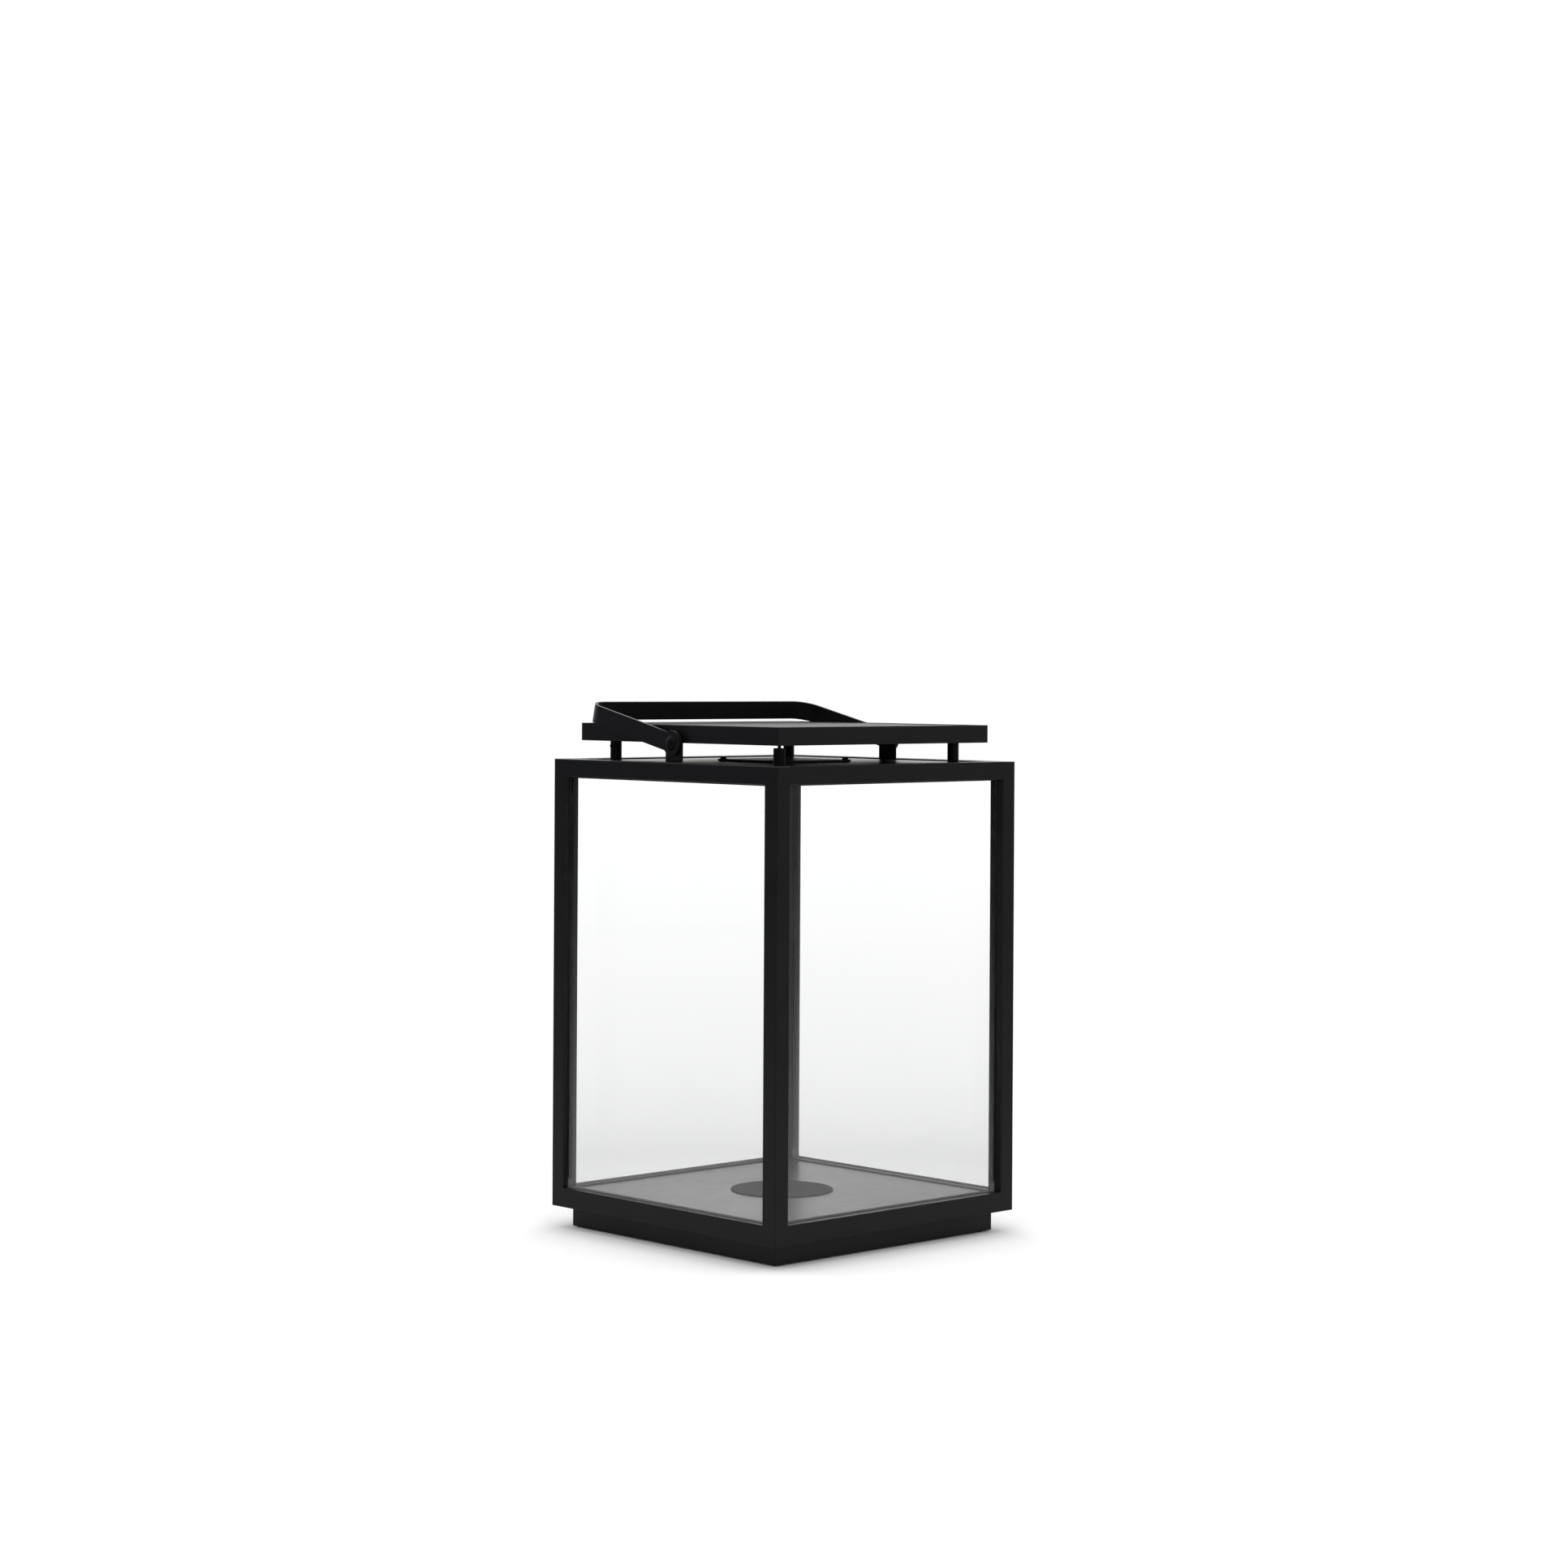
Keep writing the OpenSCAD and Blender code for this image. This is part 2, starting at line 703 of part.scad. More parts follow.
// One pad under both batteries
module battery_pad() {
    color("gray") translate([0, battery_cy, cover_z])
        block([2 * battery_at + battery_x, battery_y, pad_t]);
}

// From the batteries to under the board
module battery_leads() {
    start_y = battery_cy + battery_y / 2;
    end_y = board_cy - board_y / 2 + 7;
    color("red") for (x = [-31, -27, 25, 29])
        translate([x, start_y, board_z - 0.75]) rotate([-90, 0, 0])
            cylinder(r = lead_r, h = end_y - start_y, $fn = 16);
}

// From the board up to the laminate
module solar_leads() {
    color("silver") for (x = [-24, -19]) translate([x, board_cy + 4, board_top])
        cylinder(r = lead_r, h = laminate_z - board_top, $fn = 16);
}

module controller_board() {
    color("darkgreen") difference() {
        translate([0, board_cy, board_z]) block([board_x, board_y, board_t]);
        at_each(board_posts, board_z - over) cylinder(r = 1.1, h = 4, $fn = 24);
    }
}

// Flat components on the underside of the board
module board_parts() {
    // centre x, centre y from the board's middle, size x, size y, height
    parts = [
        [-18, -3, 9, 9, 1.6],
        [-5, -8, 6, 4, 1.2],
        [14, 5, 8, 6, 2.4],
        [16, -6, 5, 5, 1.5],
        [-30, 4, 4, 3, 1.8]
    ];
    color("black") for (part = parts)
        translate([part[0], board_cy + part[1], board_z - part[4]])
            block([part[2], part[3], part[4]]);
}

module board_screws() {
    color("silver") at_each(board_posts, board_top)
        pan_screw(shank_r = 0.88, len = 4, head_r = 1.7, head_h = 0.9);
}

// Switch under the board, with a hole for the button's stem
module power_switch() {
    switch_w = 8;
    color("silver") translate([0, button_y, switch_z]) difference() {
        block([switch_w, switch_w, board_z - switch_z]);
        raise(-over) cylinder(d = stem_d + 2 * run, h = 3, $fn = 32);
    }
}

// Button with a dished lower face, a collar inside the cover and a stem
module power_button() {
    proud = 1.8;  // below the cover
    dish_r = 6;
    dish_depth = 0.4;
    collar_h = 0.8;
    color("dimgray") translate([0, button_y, panel_z]) {
        difference() {
            raise(-proud) cylinder(d = button_d, h = proud + cover_t + 0.05);
            raise(-proud + dish_depth - dish_r) sphere(r = dish_r, $fn = 48);
        }
        raise(cover_t + 0.04) cylinder(r = button_d / 2 + 1, h = collar_h);
        raise(cover_t + collar_h) cylinder(d = stem_d, h = 2.1, $fn = 32);
    }
}

// ---------- carrying strap ----------

// Round-topped bracket; side_x is -1 left or 1 right
module strap_bracket(side_x) {
    color("black") difference() {
        translate([side_x > 0 ? bracket_x : -bracket_x - bracket_t, 0, 0]) union() {
            translate([0, -bracket_w / 2, frame_z])
                cube([bracket_t, bracket_w, pivot_z - frame_z]);
            raise(pivot_z) along_x() cylinder(d = bracket_w, h = bracket_t);
        }
        translate([side_x > 0 ? 0 : -frame_w, 0, pivot_z]) along_x()
            cylinder(r = pivot_r, h = frame_w, $fn = 32);
    }
}

// Filled outline of the strap from start_y to the crossbar, held in from the
// strap's outer face by inset
module strap_outline(inset, start_y) {
    half_w = strap_x - inset;
    bend_x = strap_x - bend_r;
    bend_y = strap_reach - bend_r;
    translate([-half_w, start_y]) square([2 * half_w, bend_y - start_y]);
    translate([-bend_x, start_y]) square([2 * bend_x, strap_reach - inset - start_y]);
    for (x = [-1, 1]) translate([x * bend_x, bend_y]) circle(r = bend_r - inset);
}

// The strap: a U bent flat, its plane turned up by the rest angle, with a
// round eye about each pivot
module carrying_strap() {
    color("black") raise(pivot_z) rotate([strap_rest, 0, 0]) difference() {
        union() {
            raise(-strap_w / 2) linear_extrude(strap_w) difference() {
                strap_outline(inset = 0, start_y = 0);
                strap_outline(inset = strap_t, start_y = -over);
            }
            both_sides() translate([strap_x - strap_t, 0, 0]) along_x()
                cylinder(d = eye_d, h = strap_t);
        }
        translate([-strap_x - over, 0, 0]) along_x()
            cylinder(r = pivot_r + run, h = 2 * strap_x + 2 * over, $fn = 48);
    }
}

// Pivot rivets with domed heads, each with its washer under the strap and its
// other end spread inside the bracket
module pivot_rivets() {
    spread_h = 0.8;
    head_at = bracket_t + washer_t + strap_t + 0.1;
    dome_r = (pow(rivet_head_d / 2, 2) + pow(rivet_head_h, 2)) / (2 * rivet_head_h);
    color("dimgray") both_sides() translate([bracket_x, 0, pivot_z]) along_x() {
        raise(-spread_h) cylinder(r1 = pivot_r + 0.8, r2 = pivot_r + 1.2, h = spread_h, $fn = 48);
        raise(-eps) cylinder(r = pivot_r - fit, h = bracket_t + 2 * eps, $fn = 48);
        raise(bracket_t) cylinder(r = pivot_r + 2.5, h = washer_t - 0.05, $fn = 48);
        raise(bracket_t) cylinder(r = pivot_r, h = head_at - bracket_t + eps, $fn = 48);
        raise(head_at) intersection() {
            cylinder(d = rivet_head_d + 1, h = rivet_head_h + 1, $fn = 64);
            raise(rivet_head_h - dome_r) sphere(r = dome_r, $fn = 64);
        }
    }
}

// ---------- assembly ----------

post(-1, -1);  // post_front_left
post(1, -1);  // post_front_right
post(-1, 1);  // post_back_left
post(1, 1);  // post_back_right
top_rail("front");  // top_rail_front
top_rail("back");  // top_rail_back
top_rail("left");  // top_rail_left
top_rail("right");  // top_rail_right
bottom_rail("front");  // bottom_rail_front
bottom_rail("back");  // bottom_rail_back
bottom_rail("left");  // bottom_rail_left
bottom_rail("right");  // bottom_rail_right
roof_sheet();
floor_sheet();
floor_disc();
plinth();
foot_pads();
pane(glass_front_depth);  // glass_front
to_side("back") pane(glass_front_depth);  // glass_back
to_side("left") pane(glass_side_depth);  // glass_left
to_side("right") pane(glass_side_depth);  // glass_right
pane_seal(glass_front_depth);  // glass_seal_front
to_side("back") pane_seal(glass_front_depth);  // glass_seal_back
to_side("left") pane_seal(glass_side_depth);  // glass_seal_left
to_side("right") pane_seal(glass_side_depth);  // glass_seal_right
lamp_housing();
lamp_gasket();
led_board();
led_chips();
lamp_diffuser();
diffuser_ring();
lamp_screws();
panel_standoffs();
standoff_screws();
grub_screws();
cable_conduit();
cable_grommet();
lamp_cable();
solar_box_shell();
solar_box_cover();
cover_seal();
cover_screws();
solar_glass();
solar_cells();
cell_ribbons();
solar_backsheet();
solar_edge_seal();
battery_cells();
battery_pad();
battery_leads();
solar_leads();
controller_board();
board_parts();
board_screws();
power_switch();
power_button();
strap_bracket(-1);  // strap_bracket_left
strap_bracket(1);  // strap_bracket_right
carrying_strap();
pivot_rivets();
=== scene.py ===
import json
import math

import bmesh
import bpy
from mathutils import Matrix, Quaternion, Vector


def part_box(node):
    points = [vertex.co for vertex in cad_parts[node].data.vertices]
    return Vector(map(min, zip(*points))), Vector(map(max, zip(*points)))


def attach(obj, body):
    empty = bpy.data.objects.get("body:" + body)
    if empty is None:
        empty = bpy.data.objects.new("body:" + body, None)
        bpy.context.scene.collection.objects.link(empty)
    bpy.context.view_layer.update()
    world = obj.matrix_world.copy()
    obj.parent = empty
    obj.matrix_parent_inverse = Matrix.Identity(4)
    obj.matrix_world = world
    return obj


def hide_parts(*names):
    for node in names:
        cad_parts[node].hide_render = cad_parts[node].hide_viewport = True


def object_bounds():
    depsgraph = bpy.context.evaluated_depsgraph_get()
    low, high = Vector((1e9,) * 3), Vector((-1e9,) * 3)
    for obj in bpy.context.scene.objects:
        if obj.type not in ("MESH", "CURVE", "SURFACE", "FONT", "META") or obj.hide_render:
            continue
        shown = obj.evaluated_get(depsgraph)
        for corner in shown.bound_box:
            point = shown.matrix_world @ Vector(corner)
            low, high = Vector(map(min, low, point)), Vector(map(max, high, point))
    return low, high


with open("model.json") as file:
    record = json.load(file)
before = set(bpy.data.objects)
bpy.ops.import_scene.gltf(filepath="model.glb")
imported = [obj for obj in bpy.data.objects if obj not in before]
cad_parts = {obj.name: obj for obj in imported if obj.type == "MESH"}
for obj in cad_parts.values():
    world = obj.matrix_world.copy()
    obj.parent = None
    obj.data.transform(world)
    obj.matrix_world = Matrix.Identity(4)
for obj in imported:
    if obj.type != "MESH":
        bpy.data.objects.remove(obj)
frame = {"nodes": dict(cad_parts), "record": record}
CAD_LO, CAD_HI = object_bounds()
record = frame["record"]
nodes = frame["nodes"]
scene = bpy.context.scene
NODE_BODY = {node: body for body, group in record["behaviour"]["bodies"].items() for node in group}
SLOT = {part["node"]: part["material_slot"] for part in record["subparts"]}


# ------------------------------------------------------------------ shader helpers


class Shader:
    """The node tree of a material or world, and short calls for adding nodes to it."""

    def __init__(self, owner, output="OutputMaterial", space="Object"):
        self.owner = owner
        owner.use_nodes = True
        self.tree = owner.node_tree
        self.tree.nodes.clear()
        self.out = self.add(output)
        self.coords = self.add("TexCoord").outputs
        self.pos = self.coords[space]

    def put(self, socket, value):
        """Link a socket, or set a value; a colour gets its alpha here."""
        if hasattr(value, "is_linked"):
            self.tree.links.new(value, socket)
        elif isinstance(value, tuple) and socket.type == "RGBA":
            socket.default_value = (*value, 1.0)
        else:
            socket.default_value = value

    def add(self, kind, **inputs):
        node = self.tree.nodes.new("ShaderNode" + kind)
        for key, value in inputs.items():
            self.put(node.inputs[key.replace("_", " ")], value)
        return node

    def fill(self, node, values, first=0):
        for i, value in enumerate(values, first):
            self.put(node.inputs[i], value)

    def math(self, operation, a, b=0.0, clamp=False):
        node = self.add("Math")
        node.operation = operation
        node.use_clamp = clamp
        self.fill(node, (a, b))
        return node.outputs[0]

    def vector_math(self, operation, *values):
        node = self.add("VectorMath")
        node.operation = operation
        self.fill(node, values)
        return node.outputs

    def noise(self, scale, detail=2.0, rough=0.5, vector=None, distortion=0.0):
        return self.add("TexNoise", Vector=vector or self.pos, Scale=scale, Detail=detail,
                        Roughness=rough, Distortion=distortion).outputs[0]

    def voronoi(self, scale):
        return self.add("TexVoronoi", Vector=self.pos, Scale=scale).outputs[0]

    def ramp(self, value, over, to=(0, 1), smooth=False):
        """Map the range over onto the range to, held at both ends."""
        node = self.add("MapRange")
        node.clamp = True
        if smooth:
            node.interpolation_type = "SMOOTHSTEP"
        self.fill(node, (value, *over, *to))
        return node.outputs[0]

    def vary(self, noise, middle, by):
        return self.ramp(noise, over=(0.3, 0.7), to=(middle - by, middle + by))

    def mix(self, fac, a, b):
        node = self.add("Mix")
        node.data_type = "RGBA"
        self.put(node.inputs[0], fac)
        self.fill(node, (a, b), first=6)
        return node.outputs[2]

    def mottle(self, noise, over, colour, shades):
        """Mix two shades of a colour, given as factors of its brightness."""
        dark, light = shades
        return self.mix(self.ramp(noise, over), tinted(colour, dark), tinted(colour, light))

    def layer(self, fac, under, upper):
        node = self.add("MixShader")
        self.fill(node, (fac, under.outputs[0], upper.outputs[0]))
        return node

    def grey(self, value):
        node = self.add("CombineColor")
        self.fill(node, (value,) * 3)
        return node.outputs[0]

    def axis(self, letter, vector=None):
        return self.add("SeparateXYZ", Vector=vector or self.pos).outputs[letter]

    def geometry(self, output):
        return self.add("NewGeometry").outputs[output]

    def bump(self, height, strength, distance):
        node = self.add("Bump", Strength=strength, Distance=distance, Height=height)
        return node.outputs[0]

    def done(self, node):
        self.put(self.out.inputs["Surface"], node.outputs[0])
        return self.owner

    def principled(self, colour, rough, normal, metallic=0.0, spec=0.5):
        """Finish with a principled surface."""
        return self.done(self.add(
            "BsdfPrincipled", Base_Color=colour, Roughness=rough, Metallic=metallic,
            Specular_IOR_Level=spec, Coat_Roughness=0.1, Normal=normal))


def material(name):
    return Shader(bpy.data.materials.new(name))


def tinted(colour, factor):
    return tuple(min(1.0, channel * factor) for channel in colour)


# ------------------------------------------------------------------ materials


def powder_coat(name, colour, rough=0.36, spec=0.5, grain=0.12, dust=0.12, painted_shade_zone=None):
    """Powder coat: small pits and bumps, patches of sheen, and dust on faces that look up.
    The shade zone (x, z): within |x| and above z, between the roof and the box, the specular is
    cut back as painted shade."""
    t = material(name)
    fine = t.noise(scale=2600, detail=2.0, rough=0.55)
    pits = t.voronoi(scale=1150)
    patch = t.noise(scale=28, detail=3.0, rough=0.6)
    wide = t.noise(scale=6)
    fine_share, pit_share = 0.6, 0.7
    height = t.math("ADD", t.math("MULTIPLY", fine, fine_share),
                    t.math("MULTIPLY", pits, pit_share))
    normal = t.bump(height, strength=grain, distance=0.00012)
    shade = t.mottle(patch, over=(0.35, 0.7), colour=colour, shades=(0.86, 1.16))
    shade = t.mix(t.ramp(fine, over=(0.58, 0.75), to=(0.0, 0.35)), shade, tinted(colour, 2.0))
    up = t.axis("Z", t.geometry("Normal"))
    spread_noise = t.noise(scale=90, detail=4.0, rough=0.7)
    settled = t.math("MULTIPLY", t.ramp(up, over=(0.6, 1.0), to=(0.0, dust)),
                     t.ramp(spread_noise, over=(0.42, 0.72)))
    dust_colour = (0.055, 0.054, 0.052)
    shade = t.mix(settled, shade, dust_colour)
    sheen = t.math("ADD", t.vary(wide, rough, by=0.015), t.vary(patch, 0, by=0.015))
    dust_rough = 0.3  # roughness that full dust adds
    sheen = t.math("ADD", sheen, t.math("MULTIPLY", settled, dust_rough), clamp=True)
    # painted shade: between the roof and the box the coat's specular is cut back to stand in for
    # the shade there
    if painted_shade_zone:
        x, z = painted_shade_zone
        painted_shade_loss = 0.62  # share of the specular taken out as painted shade
        in_painted_shade = t.ramp(t.math("ABSOLUTE", t.axis("X")), over=(x - 0.0001, x + 0.0001), to=(1, 0))
        in_painted_shade = t.math("MULTIPLY", in_painted_shade, t.ramp(t.axis("Z"), over=(z, z + 0.0005)))
        kept = t.math("SUBTRACT", 1.0, t.math("MULTIPLY", in_painted_shade, painted_shade_loss))
        spec = t.math("MULTIPLY", kept, spec)
    return t.principled(shade, sheen, normal, spec=spec)


def moulded(name, colour, rough=0.36):
    """Spark-eroded black moulding."""
    t = material(name)
    grain = t.voronoi(scale=1500)
    soft = t.noise(scale=700, detail=3.0, rough=0.6)
    flow = t.noise(scale=14, detail=3.0, distortion=0.6)
    soft_share = 0.6
    height = t.math("ADD", grain, t.math("MULTIPLY", soft, soft_share))
    normal = t.bump(height, strength=0.22, distance=0.00008)
    shade = t.mottle(flow, over=(0.35, 0.7), colour=colour, shades=(0.88, 1.14))
    return t.principled(shade, t.vary(flow, rough, by=0.05), normal)


def rubber(name, colour, rough=0.72, foot=None):
    """Matt rubber or cable jacket. foot = (z, colour): below z it takes the lighter colour."""
    t = material(name)
    grain = t.noise(scale=1800, detail=3.0, rough=0.6)
    patch = t.noise(scale=40)
    shade = t.mottle(patch, over=(0.35, 0.65), colour=colour, shades=(0.8, 1.3))
    if foot:
        z, lower_colour = foot
        spread_noise = t.noise(scale=160, detail=3.0)
        lower_tone = t.mottle(spread_noise, over=(0.3, 0.7), colour=lower_colour, shades=(0.9, 1.1))
        shade = t.mix(t.ramp(t.axis("Z"), over=(z, z + 0.004), to=(1, 0)), shade, lower_tone)
    normal = t.bump(grain, strength=0.3, distance=0.00008)
    return t.principled(shade, t.vary(patch, rough, by=0.06), normal, spec=0.25)


def metal(name, colour, rough=0.35, brushed=(1, 1, 1)):
    """Bare metal; brushed scales the fine grain along x, y and z."""
    t = material(name)
    stretched = t.vector_math("MULTIPLY", t.pos, brushed)["Vector"]
    grain = t.noise(scale=900, detail=3.0, rough=0.6, vector=stretched)
    patch = t.noise(scale=120, detail=3.0, rough=0.6)
    shade = t.mottle(patch, over=(0.3, 0.7), colour=colour, shades=(0.82, 1.12))
    sheen = t.math("ADD", t.vary(grain, rough, by=0.08), t.vary(patch, 0, by=0.05), clamp=True)
    normal = t.bump(grain, strength=0.12, distance=0.00005)
    return t.principled(shade, sheen, normal, metallic=1.0)


def window_glass(name, foot_z, top_z):
    """Clear float glass: it reflects on the face a ray enters by, and a fine bloom of dust
    thickens towards its foot."""
    t = material(name)
    mirror_gain = 1.4  # factor on the Fresnel reflection
    bloom, bloom_power = 0.242, 1.87  # dust cover at the foot, and how fast it thins upwards
    clear = t.add("BsdfTransparent", Color=(0.998, 1.0, 0.999))
    ripple = t.bump(t.noise(scale=2.5, detail=1.0), strength=0.02, distance=0.002)
    gloss = t.add("BsdfGlossy", Roughness=0.02, Normal=ripple)
    entering = t.math("SUBTRACT", 1.0, t.geometry("Backfacing"))
    fresnel = t.add("Fresnel", IOR=1.5).outputs[0]
    mirror = t.math("MULTIPLY", t.math("MULTIPLY", fresnel, mirror_gain), entering, clamp=True)
    t.put(gloss.inputs["Color"], t.grey(mirror))
    pane = t.add("AddShader")
    t.fill(pane, (clear.outputs[0], gloss.outputs[0]))
    low = t.ramp(t.axis("Z"), over=(foot_z, top_z), to=(1, 0))
    veil = t.math("MULTIPLY", t.math("POWER", low, bloom_power), bloom)
    speck_noise = t.noise(scale=420, detail=4.0, rough=0.7)
    speck = t.ramp(speck_noise, over=(0.3, 0.75), to=(0.95, 1.05))
    broad_noise = t.noise(scale=9, detail=3.0, rough=0.6)
    broad = t.ramp(broad_noise, over=(0.3, 0.7), to=(0.97, 1.03))
    veil = t.math("MULTIPLY", t.math("MULTIPLY", veil, speck), broad)
    veil = t.math("MULTIPLY", veil, entering, clamp=True)
    dust = t.add("BsdfDiffuse", Color=(0.318, 0.318, 0.326))
    return t.done(t.layer(veil, pane, dust))


def panel_glass(name):
    """Prismatic solar cover glass: clear, finely pebbled, turning grey at a low angle."""
    t = material(name)
    clear = t.add("BsdfTransparent", Color=(0.93, 0.95, 0.96))
    pebbles = t.bump(t.noise(scale=900), strength=0.05, distance=0.0001)
    smear = t.noise(scale=11, detail=3.0, rough=0.6)
    gloss = t.add("BsdfGlossy", Color=(0.27, 0.27, 0.275), Normal=pebbles,
                  Roughness=t.ramp(smear, over=(0.3, 0.7), to=(0.30, 0.36)))
    pane = t.layer(t.add("Fresnel", IOR=1.42).outputs[0], clear, gloss)
    dust = t.add("BsdfDiffuse", Color=(0.22, 0.22, 0.215))
    dust_cover = 0.035
    speck = t.ramp(t.noise(scale=160, detail=4.0, rough=0.7), over=(0.35, 0.75), to=(0.4, 1.4))
    film = t.math("MULTIPLY", speck, dust_cover, clamp=True)
    return t.done(t.layer(film, pane, dust))


def solar_cell(name, lo, hi):
    """Blue-black cells between the corners lo and hi, each a slightly different shade, with
    fine silver fingers across them."""
    t = material(name)
    x, y = t.axis("X"), t.axis("Y")
    finger_pitch = 0.0019
    columns, rows = 2, 6
    hash_x, hash_y, hash_gain = 12.9, 78.2, 437.5  # scatter a cell's place into its shade
    shifted = t.math("ADD", y, 1.0)  # keeps y positive
    saw = t.math("FRACT", t.math("DIVIDE", shifted, finger_pitch))
    saw = t.math("ABSOLUTE", t.math("SUBTRACT", saw, 0.5))
    finger = t.ramp(saw, over=(0.445, 0.475))

    def cell_index(place, start, size):
        return t.math("FLOOR", t.math("DIVIDE", t.math("SUBTRACT", place, start), size))

    column = cell_index(x, lo.x, (hi.x - lo.x) / columns)
    row = cell_index(y, lo.y, (hi.y - lo.y) / rows)
    seed = t.math("ADD", t.math("MULTIPLY", column, hash_x), t.math("MULTIPLY", row, hash_y))
    ident = t.math("FRACT", t.math("MULTIPLY", t.math("SINE", seed), hash_gain))
    blue = t.mix(ident, (0.006, 0.010, 0.024), (0.010, 0.016, 0.038))
    cloud = t.ramp(t.noise(scale=7), over=(0.35, 0.65), to=(0, 0.5))
    blue = t.mix(cloud, blue, (0.012, 0.012, 0.03))
    silver = (0.34, 0.35, 0.36)
    shade = t.mix(finger, blue, silver)
    sheen = t.ramp(finger, over=(0, 1), to=(0.28, 0.4))
    return t.principled(shade, sheen, t.bump(finger, strength=0.15, distance=0.00003))


def flat_part(name, shade_a, shade_b, scale, rough, grain=0.2):
    """Small moulded or printed parts: two close shades in a fine mottle."""
    t = material(name)
    patch = t.noise(scale=scale, detail=3.0, rough=0.6)
    fine = t.noise(scale=scale * 9)
    shade = t.mix(t.ramp(patch, over=(0.35, 0.65)), shade_a, shade_b)
    normal = t.bump(fine, strength=grain, distance=0.00006)
    return t.principled(shade, t.vary(patch, rough, by=0.05), normal, spec=0.4)


def circuit(name, mask, trace):
    """Solder mask over thin copper traces."""
    t = material(name)
    cells = t.add("TexVoronoi", Vector=t.pos, Scale=210)
    cells.distance = "MANHATTAN"
    cells.feature = "F2"
    lines_per_cell = 3.0
    saw = t.math("FRACT", t.math("MULTIPLY", cells.outputs[0], lines_per_cell))
    saw = t.math("ABSOLUTE", t.math("SUBTRACT", saw, 0.5))
    lines = t.ramp(saw, over=(0.06, 0.1), to=(1, 0))
    sheen = t.ramp(t.noise(scale=300), over=(0.3, 0.7), to=(0.3, 0.42))
    normal = t.bump(lines, strength=0.2, distance=0.00004)
    return t.principled(t.mix(lines, mask, trace), sheen, normal)


BLACK = (0.0030, 0.0031, 0.0034)
bracket_lo, bracket_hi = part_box("strap_bracket_right")
glass_lo, glass_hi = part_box("glass_front")
# zone of painted shade on the coat: between the roof and the box, out to the brackets' centre line
PAINTED_SHADE_ZONE = ((bracket_lo.x + bracket_hi.x) / 2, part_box("roof_sheet")[1].z)
SEAL_FOOT = (glass_lo.z + 0.005, (0.13, 0.13, 0.126))

# material slot: material
MAT = {
    "frame_black": powder_coat("powder_black", BLACK, painted_shade_zone=PAINTED_SHADE_ZONE),
    "sheet_black": powder_coat("sheet_powder_black", tinted(BLACK, 1.1), rough=0.31, dust=0.2),
    "strap_black": powder_coat("strap_powder_black", tinted(BLACK, 0.9), rough=0.40, spec=0.47),
    "disc_black": powder_coat("disc_matt_black", tinted(BLACK, 1.8), rough=0.76, spec=0.1,
                              grain=0.04, dust=0.03),
    "standoff_black": powder_coat("standoff_black", tinted(BLACK, 0.9), rough=0.40, spec=0.28),
    "window_glass": window_glass("float_glass", glass_lo.z, glass_hi.z),
    "seal_rubber": rubber("seal_rubber", (0.014, 0.014, 0.014), foot=SEAL_FOOT),
    "lamp_black": powder_coat("lamp_black", tinted(BLACK, 0.9), rough=0.26),
    "board_white": flat_part("white_mask", (0.72, 0.72, 0.7), (0.8, 0.8, 0.78),
                             scale=60, rough=0.4),
    "led_emitter": flat_part("phosphor", (0.85, 0.6, 0.16), (0.95, 0.75, 0.3),
                             scale=900, rough=0.35),
    "opal_diffuser": flat_part("opal", (0.8, 0.8, 0.78), (0.86, 0.86, 0.84),
                               scale=25, rough=0.35, grain=0.05),
    "screw_black": metal("black_oxide", (0.030, 0.030, 0.032), rough=0.48),
    "screw_steel": metal("zinc_steel", (0.55, 0.56, 0.57), rough=0.32),
    "cable_black": rubber("cable_jacket", (0.011, 0.011, 0.011), rough=0.6),
    "box_black": moulded("box_moulding", tinted(BLACK, 1.05)),
    "panel_glass": panel_glass("panel_cover_glass"),
    "solar_cell": solar_cell("mono_cell", *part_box("solar_cells")),
    "ribbon_tin": metal("tinned_ribbon", (0.6, 0.61, 0.62), rough=0.38, brushed=(1, 0.08, 1)),
    "backsheet_black": flat_part("backsheet", (0.010, 0.010, 0.011), (0.015, 0.015, 0.016),
                                 scale=80, rough=0.5),
    "battery_wrap": flat_part("shrink_wrap", (0.03, 0.10, 0.32), (0.04, 0.13, 0.38),
                              scale=50, rough=0.3),
    "foam_grey": flat_part("foam", (0.2, 0.2, 0.2), (0.3, 0.3, 0.3), scale=900, rough=0.9),
    "lead_red": rubber("lead_red", (0.35, 0.02, 0.015), rough=0.45),
    "board_green": circuit("green_mask", mask=(0.01, 0.09, 0.03), trace=(0.05, 0.22, 0.07)),
    "chip_black": flat_part("chip_epoxy", (0.012, 0.012, 0.012), (0.02, 0.02, 0.02),
                            scale=700, rough=0.55),
    "button_black": rubber("button_rubber", (0.014, 0.014, 0.014), rough=0.6),
}

for node, ob in nodes.items():
    ob.data.materials.clear()
    ob.data.materials.append(MAT[SLOT[node]])


# ------------------------------------------------------------------ rounded pieces

ROUNDED_ANGLE = math.radians(38)  # edges sharper than this are rounded
SHADING_ANGLE = math.radians(32)  # edges sharper than this shade as sharp
# node: bevel width
BEVELS = {
    "carrying_strap": 0.0003,
    "strap_bracket_left": 0.0003,
    "strap_bracket_right": 0.0003,
    "solar_box_shell": 0.0005,
    "plinth": 0.0006,
    "floor_disc": 0.0003,
    "lamp_housing": 0.0003,
    "cable_conduit": 0.0003,
    "foot_pads": 0.0002,
    "power_button": 0.0003,
    "glass_front": 0.0003,
    "glass_back": 0.0003,
    "glass_left": 0.0003,
    "glass_right": 0.0003,
}


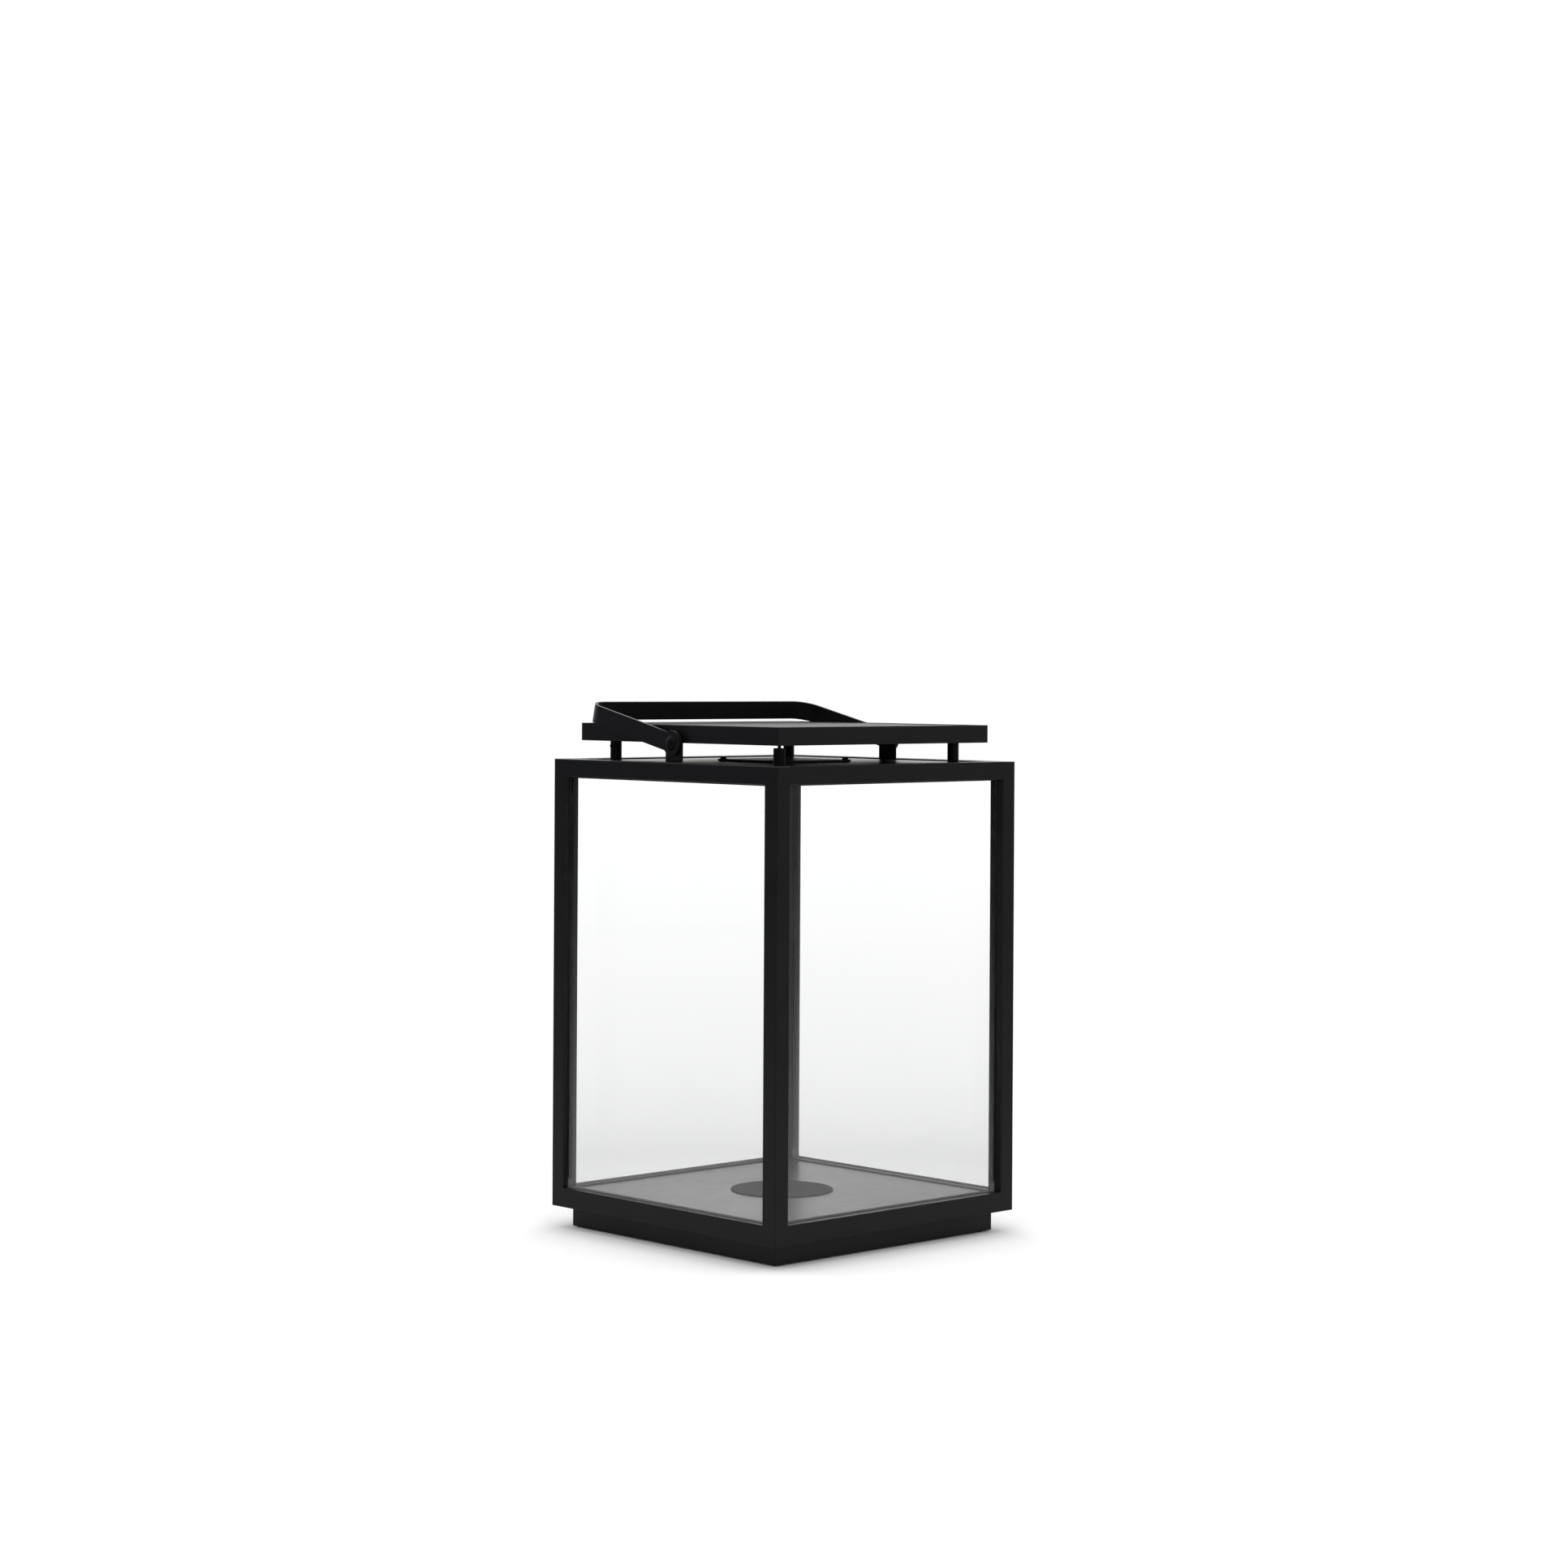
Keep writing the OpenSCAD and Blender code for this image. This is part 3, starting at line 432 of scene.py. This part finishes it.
def refine(node, width, segments):
    """Replace a CAD node by a merged, smooth-shaded copy with its sharp edges rounded."""
    bm = bmesh.new()
    bm.from_mesh(nodes[node].data)
    bmesh.ops.remove_doubles(bm, verts=bm.verts, dist=2e-6)
    bmesh.ops.dissolve_limit(bm, angle_limit=math.radians(0.4), verts=bm.verts, edges=bm.edges)
    sharp = [edge for edge in bm.edges
             if len(edge.link_faces) == 2 and edge.calc_face_angle(0.0) > ROUNDED_ANGLE]
    bmesh.ops.bevel(bm, geom=sharp, offset=width, offset_type="OFFSET", segments=segments,
                    profile=0.5, affect="EDGES", clamp_overlap=True, miter_outer="ARC",
                    loop_slide=True)
    bmesh.ops.recalc_face_normals(bm, faces=bm.faces)
    mesh = bpy.data.meshes.new(node + "_finish")
    bm.to_mesh(mesh)
    bm.free()
    ob = bpy.data.objects.new(node + "_finish", mesh)
    scene.collection.objects.link(ob)
    mesh.shade_smooth()
    mesh.set_sharp_from_angle(angle=SHADING_ANGLE)
    weighted = ob.modifiers.new("weighted", "WEIGHTED_NORMAL")
    weighted.keep_sharp = True
    weighted.weight = 60
    mesh.materials.append(MAT[SLOT[node]])
    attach(ob, NODE_BODY[node])
    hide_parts(node)


for node, width in BEVELS.items():
    refine(node, width, segments=3 if width > 0.0004 else 2)


# ------------------------------------------------------------------ ground


def ground_paper():
    """Pale paper that darkens a little away from the lantern, with a painted contact shadow close
    around the plinth.
    Reflections see it as a much darker grey."""
    t = material("ground_paper")
    patch = t.ramp(t.noise(scale=5, detail=3.0), over=(0.35, 0.65))
    tone = t.mix(patch, (0.965, 0.965, 0.965), (0.975, 0.975, 0.975))
    away = t.vector_math("LENGTH", t.pos)["Value"]
    far = t.ramp(away, over=(0.27, 0.48), smooth=True)
    tone = t.mix(far, tone, (0.83, 0.83, 0.83))
    plinth_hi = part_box("plinth")[1]

    def outside(letter, half):
        beyond = t.math("SUBTRACT", t.math("ABSOLUTE", t.axis(letter)), half)
        return t.math("MAXIMUM", beyond, 0.0)

    out_x, out_y = outside("X", plinth_hi.x), outside("Y", plinth_hi.y)
    gap = t.math("SQRT", t.math("ADD", t.math("POWER", out_x, 2.0), t.math("POWER", out_y, 2.0)))
    # painted shadow: the paper is mixed towards black within 45 mm of the plinth
    painted_contact_shadow = t.ramp(gap, over=(0.0, 0.045), to=(0.2, 0.0), smooth=True)
    tone = t.mix(painted_contact_shadow, tone, (0.0, 0.0, 0.0))
    reflected = t.grey(t.ramp(away, over=(0.25, 2.2), to=(0.295, 0.11), smooth=True))
    tone = t.mix(t.add("LightPath").outputs["Is Glossy Ray"], tone, reflected)
    fibre = t.bump(t.noise(scale=600), strength=0.02, distance=0.0002)
    return t.done(t.add("BsdfDiffuse", Color=tone, Normal=fibre))


def build_ground():
    mesh = bpy.data.meshes.new("ground")
    bm = bmesh.new()
    bmesh.ops.create_circle(bm, cap_ends=True, segments=96, radius=3.2)
    bm.to_mesh(mesh)
    bm.free()
    ground = bpy.data.objects.new("ground", mesh)
    ground.location = (0, 0, CAD_LO.z - 0.00005)
    scene.collection.objects.link(ground)
    mesh.materials.append(ground_paper())


build_ground()

# ------------------------------------------------------------------ studio

DOME = (1.2, 1.2, 1.2)  # soft light
BACKDROP = (1.005, 1.005, 1.005)  # as the camera sees it
# The room as reflections see it: to the sides, above, and ahead, high and low.
ROOM_LEFT = (0.072, 0.077, 0.103)
ROOM_RIGHT = (0.215, 0.213, 0.210)
ROOM_TOP = (0.55, 0.55, 0.55)
AHEAD_HIGH = (1.5, 1.49, 1.47)
AHEAD_LOW_LEFT = (0.18, 0.182, 0.195)
AHEAD_LOW_RIGHT = (0.42, 0.41, 0.40)


def build_world():
    """An even white dome; in reflections, a dim room with a bright backdrop behind the
    lantern, wherever the camera stands."""
    world = bpy.data.worlds.new("studio")
    scene.world = world
    world.cycles.sampling_method = "NONE"
    t = Shader(world, output="OutputWorld", space="Generated")
    ray = t.add("LightPath").outputs
    side = t.axis("X", t.coords["Camera"])
    ahead = t.axis("Z", t.coords["Camera"])
    height = t.axis("Z")
    room = t.mix(t.ramp(side, over=(-0.6, 0.6), smooth=True), ROOM_LEFT, ROOM_RIGHT)
    room = t.mix(t.ramp(height, over=(0.25, 0.8), smooth=True), room, ROOM_TOP)
    low = t.mix(t.ramp(side, over=(-0.08, 0.08)), AHEAD_LOW_LEFT, AHEAD_LOW_RIGHT)
    back = t.mix(t.ramp(height, over=(0.0, 0.14), smooth=True), low, AHEAD_HIGH)
    room = t.mix(t.ramp(ahead, over=(0.3, 0.85), smooth=True), room, back)
    shade = t.mix(ray["Is Glossy Ray"], DOME, room)
    shade = t.mix(ray["Is Camera Ray"], shade, BACKDROP)
    t.done(t.add("Background", Color=shade))


def build_overhead():
    """A square softbox above the lantern, hidden from the camera and from reflections."""
    data = bpy.data.lights.new("overhead", "AREA")
    data.shape = "RECTANGLE"
    data.size = data.size_y = 1.4
    data.energy = 5.0
    light = bpy.data.objects.new("overhead", data)
    light.location = (0, 0, 2.6)
    light.rotation_mode = "QUATERNION"
    aim = Vector((0, 0, 0.2)) - light.location
    light.rotation_quaternion = aim.to_track_quat("-Z", "Y")
    scene.collection.objects.link(light)
    light.visible_camera = False
    light.visible_glossy = False


def build_camera():
    """A level camera off the -x, -y corner, placed by the lantern's width."""
    width = CAD_HI.x - CAD_LO.x
    azimuth = math.radians(-43.4)
    distance = 9.87 * width
    height = 1.7036 * width
    roll = math.radians(0.32)
    forward = Vector((-math.sin(azimuth), math.cos(azimuth), 0))
    data = bpy.data.cameras.new("camera")
    camera = bpy.data.objects.new("camera", data)
    scene.collection.objects.link(camera)
    scene.camera = camera
    data.sensor_width = 36.0
    data.lens = 73.85
    data.shift_x = -0.000465838509
    data.shift_y = -0.070445134576
    data.clip_start = 0.05
    data.clip_end = 50
    camera.location = (*(-distance * forward).xy, height + CAD_LO.z)
    camera.rotation_mode = "QUATERNION"
    look = forward.to_track_quat("-Z", "Y")
    camera.rotation_quaternion = look @ Quaternion((0, 0, 1), roll)


build_world()
build_overhead()
build_camera()

scene.view_settings.view_transform = "Standard"
scene.view_settings.look = "None"
scene.cycles.transparent_max_bounces = 32
scene.cycles.max_bounces = 12
scene.cycles.diffuse_bounces = 4
scene.cycles.glossy_bounces = 5
